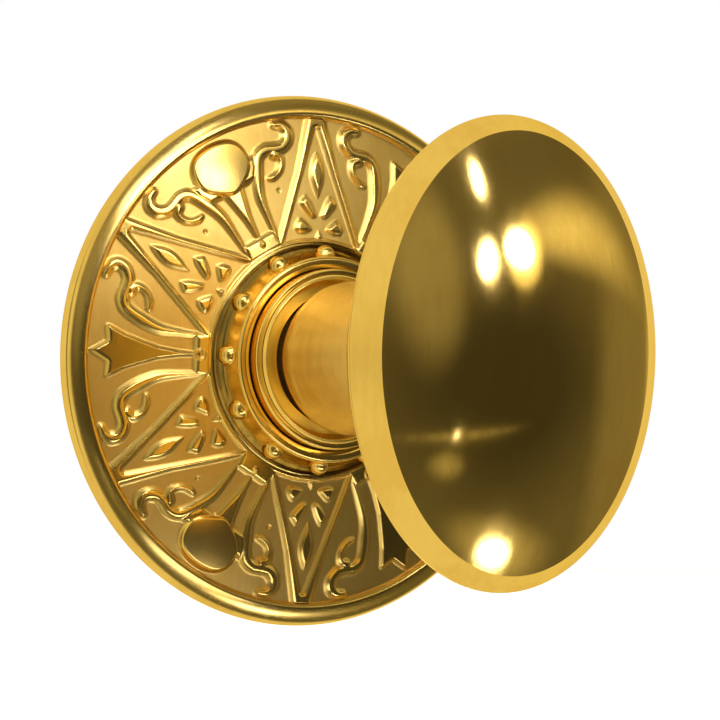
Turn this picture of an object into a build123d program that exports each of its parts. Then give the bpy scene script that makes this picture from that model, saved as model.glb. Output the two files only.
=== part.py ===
from build123d import *
import os
from math import cos, radians, sin

# Oval door knob on a round relief rosette, with the mechanism behind it.
# Millimetres. The origin is the centre of the rosette's back face, on the door.
# +Z is up, +X is to the right, +Y goes into the door, and the knob's axis is the Y axis.
# A height is a distance out from the door face, so a height h lies at Y = -h.

os.makedirs("parts", exist_ok=True)

# Rosette
rosette_radius = 35.0
rosette_edge_height = 0.6
rim_inner_radius = 31.9
rim_step_height = 2.1
rim_crest_radius = 32.55
rim_crest_height = 2.5
rim_flank_radius = 34.2
rim_flank_height = 1.8
field_edge_height = 1.65
field_inner_radius = 15.4
field_inner_height = 3.85
relief_height = 0.6
relief_root_depth = 0.2
hub_lip_radius = 13.0
hub_lip_height = 8.1
hub_round_radius = 13.5
hub_round_height = 7.8
hub_side_radius = 13.6
hub_side_height = 7.2
hub_height = 7.9
hub_flank_radius = 14.2
hub_flank_height = 5.2
bead_count = 12
bead_radius = 1.15
bead_circle_radius = 13.7
bead_height = 5.5

# Radial ornament
ray_count = 6
motif_count = 3
ray_root = 16.0
ray_tip = 31.4
ray_inner_tip = 30.4
ray_half_width = 6.2
ray_inner_half_width = 4.8
ray_tip_half_width = 1.8
disc_circle_radius = 27.2
disc_radius = 4.2
rib_inner_end = 17.2
rib_outer_end = 25.4
rib_root_half_width = 0.3
rib_end_half_width = 0.72
rib_offsets = ((-1.35, -3.6), (-0.45, -1.2), (0.45, 1.2), (1.35, 3.6))

# Hub fittings
hub_bore_radius = 10.2
hub_seat_height = 6.0
hub_counterbore_radius = 11.95
ring_inner_radius = 11.05
ring_outer_radius = 11.8
ring_height = 9.8
ring_round_radius = 11.55
ring_round_height = 9.7
ring_side_height = 9.2
bushing_flange_radius = 11.0
bushing_lip_radius = 10.6
bushing_lip_height = 10.2
bushing_mouth_radius = 8.65
bushing_mouth_height = 9.3
liner_outer_radius = 9.3
liner_height = 8.4

# Plate behind the rosette
plate_radius = 27.8
plate_thickness = 1.0
plate_bore_radius = 9.0
pocket_radius = 28.0
screw_circle_radius = 20.0
screw_radius = 1.25
screw_hole_radius = 1.4
screw_depth = 2.4
screw_head_radius = 2.3
screw_head_height = 1.5
screw_slot_width = 0.7
screw_slot_depth = 0.6

# Threaded posts
post_spacing = 38.1
post_radius = 3.0
post_length = 28.0
post_spigot_radius = 2.0
post_thread_radius = 1.65
post_thread_depth = 18.0

# Spring housing
housing_outer_radius = 15.8
housing_wall = 0.8
housing_depth = 10.0
housing_hole_radius = 6.6
ear_width = 6.0
ear_reach = 20.2
ear_thickness = 1.0
rivet_offset = 17.9
rivet_radius = 1.0
rivet_head_radius = 1.8
rivet_head_height = 0.7
rivet_head_taper = 25

# Pins in the housing
pin_radius = 1.2
anchor_pin_offset = 13.5
anchor_pin_end = 8.9
stop_pin_circle_radius = 13.4
stop_pin_angle = 65.0
stop_pin_end = 4.2

# Cam on the shank
cam_front = 2.2
cam_disc_thickness = 1.5
cam_disc_radius = 11.9
cam_hub_radius = 8.9
cam_hub_end = 7.0
lug_inner_radius = 11.0
lug_half_width = 1.2
lug_end = 8.7
ear_radius = 14.0
ear_half_width = 2.0

# Return spring
spring_radius = 10.0
wire_radius = 0.6
spring_pitch = 1.3
spring_coils = 3
spring_start = 4.4
leg_offset = 1.85
leg_reach = 14.3

# Washers and snap ring
spring_washer_front = 0.05
spring_washer_inner = 8.9
spring_washer_outer = 11.8
spring_washer_height = 0.9
spring_washer_thickness = 0.35
thrust_washer_inner = 8.7
thrust_washer_outer = 11.6
thrust_washer_front = 1.2
thrust_washer_back = 2.1
snap_ring_front = 7.15
snap_ring_back = 7.95
snap_ring_inner = 6.75
snap_ring_outer = 8.9
snap_ring_gap = 7.0

# Shank
shank_radius = 8.2
running_clearance = 0.05
spigot_radius = 7.4
spigot_flat = 6.4
spigot_end = 8.8
groove_radius = 6.7
groove_front = 7.1
groove_back = 8.0
bearing_top = 11.0
collar_round_radius = 9.6
collar_round_height = 12.8
collar_radius = 9.8
collar_height = 15.6
waist_radius = 8.4
waist_height = 29.0
flare_radius = 8.9
flare_height = 33.6
flange_radius = 10.0
flange_height = 37.0
stud_radius = 6.5
stud_end = 47.5

# Spindle and its screw
spindle_width = 7.94
spindle_hole_width = 8.04
spindle_top = 30.5
spindle_end = 65.0
spindle_chamfer = 0.8
spindle_hole_top = 32.0
set_screw_height = 26.0
set_screw_radius = 2.0
set_screw_clearance = 0.05
set_screw_length = 4.3
set_screw_socket_radius = 1.1
set_screw_socket_depth = 2.0

# Knob shells: ovals that stand upright. The knob's half sizes are those of its widest edge
# before that edge is rounded.
knob_half_width = 21.75
knob_half_height = 28.85
girth_height = 51.0
girth_fillet = 0.8
bowl_half_width = 16.7
bowl_half_height = 20.4
bowl_height = 44.2
seam_half_width = 18.6
seam_half_height = 26.45
seam_height = 53.95
apex_height = 61.0
apex_spread = 8.6
bowl_floor_lift = 0.7
neck_floor_lift = 1.9
shell_thickness = 1.2
seam_land = 1.5
lip_clearance = 0.05
lip_depth = 1.6
lip_thickness = 1.05
boss_radius = 13.5
boss_height = 41.6

# Nut inside the knob
lock_washer_thickness = 0.8
lock_washer_radius = 9.5
lock_washer_clearance = 0.1
nut_height = 4.0
nut_across_corners = 20.0
drive_pin_offset = 8.3
drive_pin_radius = 0.9
drive_pin_length = 3.0


def polar(radius, angle):
    """The X and Z of a point at an angle in degrees, counted from +X towards +Z."""
    return radius * cos(radians(angle)), radius * sin(radians(angle))


def front_plane(height):
    """The plane at this height above the door, facing the room."""
    return Plane.XZ.offset(height)


def export(piece, label):
    """Label a finished sub-part and write it."""
    piece.part.label = label
    export_step(piece.part, f"parts/{label}.step")


def ovals(*stations):
    """Upright oval faces, each given by its half width, half height and height above the door."""
    faces = []
    for half_width, half_height, height in stations:
        with BuildSketch(front_plane(height)) as section:
            Ellipse(half_width, half_height)
        faces.append(section.sketch.face())
    return faces


# Raised ornament: flat shapes, cut off at a cone that runs parallel to the field.
# Each shape is drawn along +X, where the distance from the axis is x.
with BuildPart() as ornament:
    with BuildSketch(Plane.XZ):
        with PolarLocations(0, ray_count, start_angle=90):
            # a pointed ray: two straight bands that meet at the rim
            Polygon(
                (ray_root, ray_half_width),
                (ray_root, ray_inner_half_width),
                (ray_inner_tip, 0),
                (ray_tip, 0),
                (ray_tip, ray_tip_half_width),
                align=None,
            )
            Polygon(
                (ray_root, -ray_half_width),
                (ray_tip, -ray_tip_half_width),
                (ray_tip, 0),
                (ray_inner_tip, 0),
                (ray_root, -ray_inner_half_width),
                align=None,
            )
            # the leaves inside it
            Polygon((21.5, 0), (24.2, 1.1), (27.1, 0), (24.2, -1.1), align=None)
            Polygon((18.6, 0.7), (19.4, 2.2), (21.3, 2.2), (20.6, 1.2), align=None)
            Polygon((18.6, -0.7), (20.6, -1.2), (21.3, -2.2), (19.4, -2.2), align=None)
        with PolarLocations(0, motif_count, start_angle=60):
            # a star on a long stem
            Polygon(
                (17.8, 0.6),
                (22.6, 1.1),
                (26.0, 2.1),
                (29.3, 3.5),
                (29.4, 1.4),
                (31.8, 0),
                (29.4, -1.4),
                (29.3, -3.5),
                (26.0, -2.1),
                (22.6, -1.1),
                (17.8, -0.6),
                align=None,
            )
        with PolarLocations(disc_circle_radius, motif_count, start_angle=0):
            # a disc near the rim
            Circle(disc_radius)
        with PolarLocations(0, motif_count, start_angle=0):
            # four ribs that fan out under the disc
            for root_offset, end_offset in rib_offsets:
                Polygon(
                    (rib_inner_end, root_offset - rib_root_half_width),
                    (rib_outer_end, end_offset - rib_end_half_width),
                    (rib_outer_end, end_offset + rib_end_half_width),
                    (rib_inner_end, root_offset + rib_root_half_width),
                    align=None,
                )
    extrude(amount=hub_height)
    with BuildSketch(Plane.XY):
        Polygon(
            (field_inner_radius, -field_inner_height + relief_root_depth),
            (rim_inner_radius, -field_edge_height + relief_root_depth),
            (rim_inner_radius, -field_edge_height - relief_height),
            (field_inner_radius, -field_inner_height - relief_height),
            align=None,
        )
    revolve(axis=Axis.Y, mode=Mode.INTERSECT)

with BuildPart() as rosette_plate:
    with BuildSketch(Plane.XY):
        with BuildLine():
            Line((hub_bore_radius, -plate_thickness), (hub_bore_radius, -hub_seat_height))
            Line((hub_bore_radius, -hub_seat_height), (hub_counterbore_radius, -hub_seat_height))
            Line((hub_counterbore_radius, -hub_seat_height), (hub_counterbore_radius, -hub_height))
            Line((hub_counterbore_radius, -hub_height), (hub_lip_radius, -hub_lip_height))
            ThreePointArc(
                (hub_lip_radius, -hub_lip_height),
                (hub_round_radius, -hub_round_height),
                (hub_side_radius, -hub_side_height),
            )
            ThreePointArc(
                (hub_side_radius, -hub_side_height),
                (hub_flank_radius, -hub_flank_height),
                (field_inner_radius, -field_inner_height),
            )
            Line((field_inner_radius, -field_inner_height), (rim_inner_radius, -field_edge_height))
            Line((rim_inner_radius, -field_edge_height), (rim_inner_radius, -rim_step_height))
            Line((rim_inner_radius, -rim_step_height), (rim_crest_radius, -rim_crest_height))
            ThreePointArc(
                (rim_crest_radius, -rim_crest_height),
                (rim_flank_radius, -rim_flank_height),
                (rosette_radius, -rosette_edge_height),
            )
            Line((rosette_radius, -rosette_edge_height), (rosette_radius, 0))
            Line((rosette_radius, 0), (pocket_radius, 0))
            Line((pocket_radius, 0), (pocket_radius, -plate_thickness))
            Line((pocket_radius, -plate_thickness), (hub_bore_radius, -plate_thickness))
        make_face()
    revolve(axis=Axis.Y)
    add(ornament.part)
    with Locations(front_plane(bead_height)):
        with PolarLocations(bead_circle_radius, bead_count):
            # each ball is tilted so that its poles do not fall on the hub's edge
            Sphere(bead_radius, rotation=(20, 30, 0))
    with BuildSketch(front_plane(plate_thickness)):
        with PolarLocations(screw_circle_radius, 4, start_angle=45):
            Circle(screw_radius)
    extrude(amount=screw_depth - plate_thickness, mode=Mode.SUBTRACT)
export(rosette_plate, "rosette_plate")

with BuildPart() as hub_ring:
    with BuildSketch(Plane.XY):
        with BuildLine():
            Line((ring_inner_radius, -hub_seat_height), (ring_outer_radius, -hub_seat_height))
            Line((ring_outer_radius, -hub_seat_height), (ring_outer_radius, -ring_side_height))
            ThreePointArc(
                (ring_outer_radius, -ring_side_height),
                (ring_round_radius, -ring_round_height),
                (ring_inner_radius, -ring_height),
            )
            Line((ring_inner_radius, -ring_height), (ring_inner_radius, -hub_seat_height))
        make_face()
    revolve(axis=Axis.Y)
export(hub_ring, "hub_ring")

with BuildPart() as shank_bushing:
    with BuildSketch(Plane.XY):
        Polygon(
            (liner_outer_radius, -plate_thickness),
            (hub_bore_radius, -plate_thickness),
            (hub_bore_radius, -hub_seat_height),
            (bushing_flange_radius, -hub_seat_height),
            (bushing_flange_radius, -ring_height),
            (bushing_lip_radius, -bushing_lip_height),
            (bushing_mouth_radius, -bushing_mouth_height),
            (bushing_mouth_radius, -liner_height),
            (liner_outer_radius, -liner_height),
            align=None,
        )
    revolve(axis=Axis.Y)
export(shank_bushing, "shank_bushing")

with BuildPart() as bearing_liner:
    with BuildSketch(front_plane(plate_thickness)):
        Circle(liner_outer_radius)
        Circle(shank_radius + running_clearance, mode=Mode.SUBTRACT)
    extrude(amount=liner_height - plate_thickness)
export(bearing_liner, "bearing_liner")

stop_pin_angles = (270 - stop_pin_angle, 270 + stop_pin_angle)
with BuildPart() as mounting_plate:
    with BuildSketch(front_plane(0)):
        Circle(plate_radius)
        Circle(plate_bore_radius, mode=Mode.SUBTRACT)
        with PolarLocations(screw_circle_radius, 4, start_angle=45):
            Circle(screw_hole_radius, mode=Mode.SUBTRACT)
        with GridLocations(post_spacing, 0, 2, 1):
            Circle(post_spigot_radius, mode=Mode.SUBTRACT)
        with GridLocations(0, 2 * rivet_offset, 1, 2):
            Circle(rivet_radius, mode=Mode.SUBTRACT)
        with Locations((0, anchor_pin_offset)):
            Circle(pin_radius, mode=Mode.SUBTRACT)
        with Locations(*[polar(stop_pin_circle_radius, angle) for angle in stop_pin_angles]):
            Circle(pin_radius, mode=Mode.SUBTRACT)
    extrude(amount=plate_thickness)
export(mounting_plate, "mounting_plate")

with BuildPart() as rosette_screws:
    with BuildSketch(front_plane(0)):
        with PolarLocations(screw_circle_radius, 4, start_angle=45):
            Circle(screw_radius)
    extrude(amount=screw_depth)
    with BuildSketch(front_plane(0)):
        with PolarLocations(screw_circle_radius, 4, start_angle=45):
            Circle(screw_head_radius)
    extrude(amount=-screw_head_height)
    with BuildSketch(front_plane(-screw_head_height)):
        with PolarLocations(screw_circle_radius, 4, start_angle=45):
            Rectangle(2 * screw_head_radius, screw_slot_width)
    extrude(amount=screw_slot_depth, mode=Mode.SUBTRACT)
export(rosette_screws, "rosette_screws")

for side, post_name in ((-1, "left_post"), (1, "right_post")):
    post_centre = (side * post_spacing / 2, 0)
    with BuildPart() as post:
        with BuildSketch(front_plane(0)):
            with Locations(post_centre):
                Circle(post_radius)
        extrude(amount=-post_length)
        with BuildSketch(front_plane(0)):
            with Locations(post_centre):
                Circle(post_spigot_radius)
        extrude(amount=plate_thickness)
        with BuildSketch(front_plane(-post_length)):
            with Locations(post_centre):
                Circle(post_thread_radius)
        extrude(amount=post_thread_depth, mode=Mode.SUBTRACT)
    export(post, post_name)

with BuildPart() as spring_housing:
    with BuildSketch(front_plane(0)):
        Circle(housing_outer_radius)
    extrude(amount=-housing_depth)
    with BuildSketch(front_plane(0)):
        Rectangle(ear_width, 2 * ear_reach)
    extrude(amount=-ear_thickness)
    with BuildSketch(front_plane(0)):
        Circle(housing_outer_radius - housing_wall)
    extrude(amount=-(housing_depth - housing_wall), mode=Mode.SUBTRACT)
    with BuildSketch(front_plane(0)):
        Circle(housing_hole_radius)
        with GridLocations(0, 2 * rivet_offset, 1, 2):
            Circle(rivet_radius)
    extrude(amount=-housing_depth, mode=Mode.SUBTRACT)
export(spring_housing, "spring_housing")

with BuildPart() as housing_rivets:
    with BuildSketch(front_plane(plate_thickness)):
        with GridLocations(0, 2 * rivet_offset, 1, 2):
            Circle(rivet_radius)
    extrude(amount=-(plate_thickness + ear_thickness))
    with BuildSketch(front_plane(-ear_thickness)):
        with GridLocations(0, 2 * rivet_offset, 1, 2):
            Circle(rivet_head_radius)
    extrude(amount=-rivet_head_height, taper=rivet_head_taper)
export(housing_rivets, "housing_rivets")

with BuildPart() as anchor_pin:
    with BuildSketch(front_plane(plate_thickness)):
        with Locations((0, anchor_pin_offset)):
            Circle(pin_radius)
    extrude(amount=-(plate_thickness + anchor_pin_end))
export(anchor_pin, "anchor_pin")

with BuildPart() as stop_pins:
    with BuildSketch(front_plane(plate_thickness)):
        with Locations(*[polar(stop_pin_circle_radius, angle) for angle in stop_pin_angles]):
            Circle(pin_radius)
    extrude(amount=-(plate_thickness + stop_pin_end))
export(stop_pins, "stop_pins")

# The spring's two legs stand up beside the anchor pin, and its coils turn between them.
leg_height = (spring_radius**2 - leg_offset**2) ** 0.5
leg_gap_turn = 2 * Vector(0, 1).get_angle(Vector(leg_offset, leg_height)) / 360
spring_turns = spring_coils - leg_gap_turn
spring_depth = spring_pitch * spring_turns
spring_plane = Plane(
    origin=(0, spring_start, 0),
    x_dir=(leg_offset, 0, leg_height),
    z_dir=(0, 1, 0),
)
with BuildPart() as spring_coil_run:
    with BuildLine():
        coil = Helix(pitch=spring_pitch, height=spring_depth, radius=spring_radius)
    with BuildSketch(Plane(origin=coil @ 0, z_dir=coil % 0)):
        Circle(wire_radius)
    sweep(path=coil, is_frenet=True)

with BuildPart() as return_spring:
    with Locations(spring_plane):
        add(spring_coil_run.part)
    for leg_x, leg_y in ((leg_offset, spring_start), (-leg_offset, spring_start + spring_depth)):
        with BuildSketch(Plane(origin=(leg_x, leg_y, leg_height), z_dir=(0, 0, 1))):
            Circle(wire_radius)
        extrude(amount=leg_reach - leg_height)
export(return_spring, "return_spring")

spring_washer_back = spring_washer_front + spring_washer_height
with BuildPart() as spring_washer:
    with BuildSketch(Plane.XY):
        Polygon(
            (spring_washer_inner, spring_washer_front),
            (spring_washer_outer, spring_washer_back - spring_washer_thickness),
            (spring_washer_outer, spring_washer_back),
            (spring_washer_inner, spring_washer_front + spring_washer_thickness),
            align=None,
        )
    revolve(axis=Axis.Y)
export(spring_washer, "spring_washer")

with BuildPart() as thrust_washer:
    with BuildSketch(front_plane(-thrust_washer_front)):
        Circle(thrust_washer_outer)
        Circle(thrust_washer_inner, mode=Mode.SUBTRACT)
    extrude(amount=thrust_washer_front - thrust_washer_back)
export(thrust_washer, "thrust_washer")

with BuildPart() as drive_cam:
    with BuildSketch(front_plane(-cam_front)):
        Circle(cam_disc_radius)
        with Locations((0, -ear_radius / 2)):
            Rectangle(2 * ear_half_width, ear_radius)
    extrude(amount=-cam_disc_thickness)
    with BuildSketch(front_plane(-cam_front)):
        Circle(cam_hub_radius)
    extrude(amount=cam_front - cam_hub_end)
    with BuildSketch(front_plane(-cam_front)):
        Circle(cam_disc_radius)
        Circle(lug_inner_radius, mode=Mode.SUBTRACT)
        with Locations((0, cam_disc_radius)):
            Rectangle(2 * lug_half_width, 2 * cam_disc_radius, mode=Mode.INTERSECT)
    extrude(amount=cam_front - lug_end)
    with BuildSketch(front_plane(-cam_front)):
        Circle(spigot_radius + running_clearance)
        Rectangle(2 * (spigot_flat + running_clearance), 2 * cam_hub_radius, mode=Mode.INTERSECT)
    extrude(amount=cam_front - cam_hub_end, mode=Mode.SUBTRACT)
export(drive_cam, "drive_cam")

with BuildPart() as retaining_ring:
    with BuildSketch(front_plane(-snap_ring_front)):
        Circle(snap_ring_outer)
        Circle(snap_ring_inner, mode=Mode.SUBTRACT)
        with Locations((0, -snap_ring_outer)):
            Rectangle(snap_ring_gap, 2 * snap_ring_outer - snap_ring_gap, mode=Mode.SUBTRACT)
    extrude(amount=snap_ring_front - snap_ring_back)
export(retaining_ring, "retaining_ring")

# Neck and shank in one turning: stud, flange, waist, rounded collar, bearing and keyed spigot.
with BuildPart() as knob_shank:
    with BuildSketch(Plane.XY):
        with BuildLine():
            Line((0, -stud_end), (stud_radius, -stud_end))
            Line((stud_radius, -stud_end), (stud_radius, -flange_height))
            Line((stud_radius, -flange_height), (flange_radius, -flange_height))
            ThreePointArc(
                (flange_radius, -flange_height),
                (flare_radius, -flare_height),
                (waist_radius, -waist_height),
            )
            Line((waist_radius, -waist_height), (collar_radius, -collar_height))
            ThreePointArc(
                (collar_radius, -collar_height),
                (collar_round_radius, -collar_round_height),
                (shank_radius, -bearing_top),
            )
            Line((shank_radius, -bearing_top), (shank_radius, cam_front))
            Line((shank_radius, cam_front), (spigot_radius, cam_front))
            Line((spigot_radius, cam_front), (spigot_radius, spigot_end))
            Line((spigot_radius, spigot_end), (0, spigot_end))
            Line((0, spigot_end), (0, -stud_end))
        make_face()
    revolve(axis=Axis.Y)
    with BuildSketch(front_plane(-cam_front)):
        Circle(2 * shank_radius)
        Rectangle(2 * spigot_flat, 4 * shank_radius, mode=Mode.SUBTRACT)
    extrude(amount=cam_front - spigot_end, mode=Mode.SUBTRACT)
    with BuildSketch(front_plane(-groove_front)):
        Circle(shank_radius)
        Circle(groove_radius, mode=Mode.SUBTRACT)
    extrude(amount=groove_front - groove_back, mode=Mode.SUBTRACT)
    with BuildSketch(front_plane(-spigot_end)):
        Rectangle(spindle_hole_width, spindle_hole_width)
    extrude(amount=spigot_end + spindle_hole_top, mode=Mode.SUBTRACT)
    with BuildSketch(Plane.XY):
        with Locations((0, -set_screw_height)):
            Circle(set_screw_radius)
    extrude(amount=-2 * collar_radius, mode=Mode.SUBTRACT)
    with BuildSketch(front_plane(flange_height)):
        with Locations((0, drive_pin_offset)):
            Circle(drive_pin_radius)
    extrude(amount=-drive_pin_length / 2, mode=Mode.SUBTRACT)
export(knob_shank, "knob_shank")

with BuildPart() as spindle:
    with BuildSketch(front_plane(spindle_top)):
        Rectangle(spindle_width, spindle_width)
    extrude(amount=-(spindle_top + spindle_end))
    chamfer(spindle.faces().sort_by(Axis.Y)[-1].edges(), length=spindle_chamfer)
export(spindle, "spindle")

with BuildPart() as set_screw:
    with BuildSketch(Plane.XY.offset(-spindle_width / 2)):
        with Locations((0, -set_screw_height)):
            Circle(set_screw_radius - set_screw_clearance)
    extrude(amount=-set_screw_length)
    with BuildSketch(Plane.XY.offset(-spindle_width / 2 - set_screw_length)):
        with Locations((0, -set_screw_height)):
            RegularPolygon(set_screw_socket_radius, 6)
    extrude(amount=set_screw_socket_depth, mode=Mode.SUBTRACT)
export(set_screw, "set_screw")

# The back shell is round where it meets the neck and swells into an oval bowl. Its front edge
# slopes in to the seam, where it holds the lip of the face.
seam_stretch = seam_half_height / seam_half_width
opening_half_width = seam_half_width - seam_land
girth = (knob_half_width, knob_half_height, girth_height)
seam = (seam_half_width, seam_half_height, seam_height)
opening = (opening_half_width, opening_half_width * seam_stretch, seam_height)
bowl = (bowl_half_width, bowl_half_height, bowl_height)
inner_girth = (knob_half_width - shell_thickness, knob_half_height - shell_thickness, girth_height)
inner_bowl_height = bowl_height + bowl_floor_lift
inner_bowl = (bowl_half_width - shell_thickness, bowl_half_height - shell_thickness, inner_bowl_height)
neck_end = (flange_radius, flange_radius, flange_height)
floor_radius = flange_radius - shell_thickness
floor_height = flange_height + neck_floor_lift
inner_floor = (floor_radius, floor_radius, floor_height)
bowl_outside = ovals(neck_end, bowl, girth)
slope_outside = ovals(girth, seam)
bowl_inside = ovals(inner_floor, inner_bowl, inner_girth)
slope_inside = ovals(inner_girth, opening)
with BuildPart() as knob_back:
    loft(bowl_outside)
    loft(slope_outside, ruled=True)
    girth_edge = knob_back.edges().filter_by(lambda edge: abs(edge.center().Y + girth_height) < 0.01)
    fillet(girth_edge, radius=girth_fillet)
    loft(bowl_inside, mode=Mode.SUBTRACT)
    loft(slope_inside, ruled=True, mode=Mode.SUBTRACT)
    with BuildSketch(Plane.XY):
        Polygon(
            (0, -flange_height),
            (flange_radius, -flange_height),
            (boss_radius, -boss_height),
            (0, -boss_height),
            align=None,
        )
    revolve(axis=Axis.Y)
    with BuildSketch(front_plane(flange_height)):
        Circle(stud_radius)
    extrude(amount=boss_height - flange_height, mode=Mode.SUBTRACT)
    with BuildSketch(front_plane(flange_height)):
        with Locations((0, drive_pin_offset)):
            Circle(drive_pin_radius)
    extrude(amount=drive_pin_length / 2, mode=Mode.SUBTRACT)
export(knob_back, "knob_back")

# The face is drawn round and then stretched upwards into an oval.
lip_outer = opening_half_width - lip_clearance
lip_inner = lip_outer - lip_thickness
with BuildPart() as knob_front:
    with BuildSketch(Plane.XY):
        with BuildLine():
            Bezier((0, -apex_height), (apex_spread, -apex_height), (seam_half_width, -seam_height))
            Line((seam_half_width, -seam_height), (lip_outer, -seam_height))
            Line((lip_outer, -seam_height), (lip_outer, -seam_height + lip_depth))
            Line((lip_outer, -seam_height + lip_depth), (lip_inner, -seam_height + lip_depth))
            Line((lip_inner, -seam_height + lip_depth), (lip_inner, -seam_height))
            Bezier(
                (lip_inner, -seam_height),
                (apex_spread, -apex_height + shell_thickness),
                (0, -apex_height + shell_thickness),
            )
            Line((0, -apex_height + shell_thickness), (0, -apex_height))
        make_face()
    revolve(axis=Axis.Y)
    scale(by=(1, 1, seam_stretch))
export(knob_front, "knob_front")

with BuildPart() as lock_washer:
    with BuildSketch(front_plane(boss_height)):
        Circle(lock_washer_radius)
        Circle(stud_radius + lock_washer_clearance, mode=Mode.SUBTRACT)
    extrude(amount=lock_washer_thickness)
export(lock_washer, "lock_washer")

nut_base = boss_height + lock_washer_thickness
with BuildPart() as shank_nut:
    with BuildSketch(front_plane(nut_base)):
        RegularPolygon(nut_across_corners / 2, 6)
        Circle(stud_radius, mode=Mode.SUBTRACT)
    extrude(amount=nut_height)
export(shank_nut, "shank_nut")

with BuildPart() as drive_pin:
    with BuildSketch(front_plane(flange_height - drive_pin_length / 2)):
        with Locations((0, drive_pin_offset)):
            Circle(drive_pin_radius)
    extrude(amount=drive_pin_length)
export(drive_pin, "drive_pin")
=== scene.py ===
from math import cos, pi, radians, sin, tan

import bpy
import numpy as np
from mathutils import Matrix, Vector


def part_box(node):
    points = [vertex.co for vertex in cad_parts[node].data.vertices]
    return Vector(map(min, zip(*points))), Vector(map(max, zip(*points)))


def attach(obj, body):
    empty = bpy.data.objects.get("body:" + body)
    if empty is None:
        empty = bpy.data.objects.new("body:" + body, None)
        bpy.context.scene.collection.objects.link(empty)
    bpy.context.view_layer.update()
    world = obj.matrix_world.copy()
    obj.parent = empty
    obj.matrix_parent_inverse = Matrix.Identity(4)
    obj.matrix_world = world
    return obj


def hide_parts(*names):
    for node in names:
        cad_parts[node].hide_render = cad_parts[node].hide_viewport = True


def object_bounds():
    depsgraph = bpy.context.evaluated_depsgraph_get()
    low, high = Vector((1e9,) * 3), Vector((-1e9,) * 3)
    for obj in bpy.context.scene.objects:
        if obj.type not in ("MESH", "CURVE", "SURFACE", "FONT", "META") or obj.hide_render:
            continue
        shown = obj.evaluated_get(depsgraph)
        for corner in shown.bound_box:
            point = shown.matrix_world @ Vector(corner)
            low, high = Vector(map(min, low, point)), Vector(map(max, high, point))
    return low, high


# The looks of an oval brass door knob on a relief rosette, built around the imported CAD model.
# Shapes are worked out in millimetres and turned into metres when a mesh is made.
# The knob's axis is Y. A height is a distance out from the door face, towards -Y.

MM = 0.001

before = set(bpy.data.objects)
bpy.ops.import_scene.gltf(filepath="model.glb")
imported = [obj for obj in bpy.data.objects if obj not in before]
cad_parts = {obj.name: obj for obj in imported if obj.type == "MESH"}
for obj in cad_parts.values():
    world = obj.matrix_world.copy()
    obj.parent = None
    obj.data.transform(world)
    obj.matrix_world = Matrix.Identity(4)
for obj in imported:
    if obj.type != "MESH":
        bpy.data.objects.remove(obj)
cad_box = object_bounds()


def measure(node):
    """A CAD node's half width, half height, and the heights of its front and its back."""
    low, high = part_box(node)
    return high.x / MM, high.z / MM, -low.y / MM, -high.y / MM


ROSETTE_RADIUS, _, HUB_TOP, _ = measure("rosette_plate")
RING_OUTER, _, RING_TOP, HUB_SEAT = measure("hub_ring")
BUSHING_OUTER, _, BUSHING_TOP, PLATE_TOP = measure("shank_bushing")
LINER_OUTER, _, LINER_TOP, _ = measure("bearing_liner")
KNOB_HALF_WIDTH, KNOB_HALF_HEIGHT, _, KNOB_BACK = measure("knob_back")
FACE_HALF_WIDTH, FACE_HALF_HEIGHT, KNOB_APEX, FACE_LIP = measure("knob_front")
PLATE_RADIUS = measure("mounting_plate")[0]

# ---------------------------------------------------------------- outlines


def soften(corners, step=0.3):
    """A dense line through (radius, height, fillet) corners, with each corner rounded by its fillet."""
    line = []
    count = len(corners)
    for i in range(count):
        before, here, after = corners[i - 1], corners[i], corners[(i + 1) % count]
        corner = Vector(here[:2])
        to_before = Vector(before[:2]) - corner
        to_after = Vector(after[:2]) - corner
        half = to_before.angle(to_after) / 2
        reach = min(here[2] / tan(half), 0.45 * to_before.length, 0.45 * to_after.length)
        fillet = reach * tan(half)
        centre = corner + (to_before.normalized() + to_after.normalized()).normalized() * fillet / sin(half)
        start = corner + to_before.normalized() * reach - centre
        end = corner + to_after.normalized() * reach - centre
        sweep = start.angle_signed(end)
        turns = max(2, round(abs(sweep) / radians(12)))
        for k in range(turns + 1):
            turned = Matrix.Rotation(-sweep * k / turns, 2) @ start
            line.append(centre + turned)
    dense = []
    for a, b in zip(line, line[1:] + line[:1]):
        pieces = max(1, round((b - a).length / step))
        dense.extend((a.lerp(b, k / pieces) for k in range(pieces)))
    return np.array([tuple(p) for p in dense])


def arc_points(centre, radii, start, end, count):
    """Points on an ellipse's arc, in (radius, height), between two angles in degrees."""
    t = np.radians(np.linspace(start, end, count))
    return np.stack([centre[0] + radii[0] * np.cos(t), centre[1] + radii[1] * np.sin(t)], 1)


def smooth_line(points, steps=8, closed=False):
    """A Catmull-Rom curve through the points."""
    p = np.array(points, float)
    if closed:
        p = np.concatenate([p[-1:], p, p[:2]])
    else:
        p = np.concatenate([2 * p[:1] - p[1:2], p, 2 * p[-1:] - p[-2:-1]])
    t = np.linspace(0, 1, steps, endpoint=False)[:, None]
    spans = []
    for a, b, c, d in zip(p, p[1:], p[2:], p[3:]):
        curve = 2 * b + (c - a) * t + (2 * a - 5 * b + 4 * c - d) * t**2 + (3 * b - a - 3 * c + d) * t**3
        spans.append(curve / 2)
    if not closed:
        spans.append(p[-2:-1])
    return np.concatenate(spans)


# ---------------------------------------------------------------- meshes


def signed_volume(points, corners):
    """Six times the volume inside a set of triangles."""
    a, b, c = (points[corners[:, k]] for k in range(3))
    return float(np.einsum("ij,ij->", a, np.cross(b, c)))


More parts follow.
